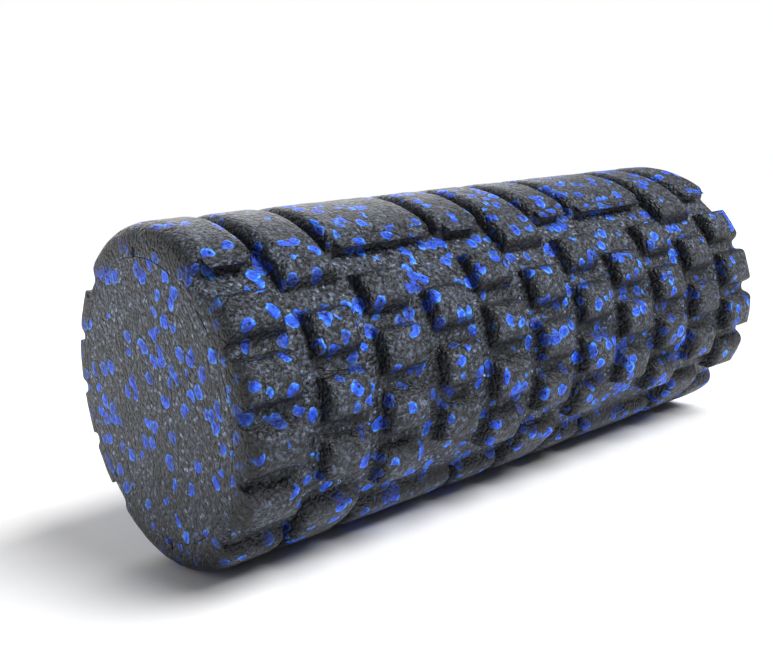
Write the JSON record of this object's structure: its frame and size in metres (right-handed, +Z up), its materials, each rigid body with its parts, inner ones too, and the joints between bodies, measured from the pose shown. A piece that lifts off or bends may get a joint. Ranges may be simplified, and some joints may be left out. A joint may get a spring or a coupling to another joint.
{
  "type": "foam roller",
  "caption": "Solid bead-foam massage roller with staggered knobs along its sides and broad pads along its top and bottom.",
  "frame": {"origin": "middle of the roller's axis, halfway along it", "axes": "+X along the roller's axis, +Z up through the seam and the broad pads, with the roller lying on its side; +Y through the knobs of the rear half sleeve"},
  "size_m": [0.33, 0.14, 0.14],
  "materials": {
    "bead_foam": "matte expanded-bead foam, charcoal black with scattered blue beads"
  },
  "bodies": {
    "root": {"core": "bead_foam", "front_half_sleeve": "bead_foam", "rear_half_sleeve": "bead_foam"}
  },
  "joints": []
}
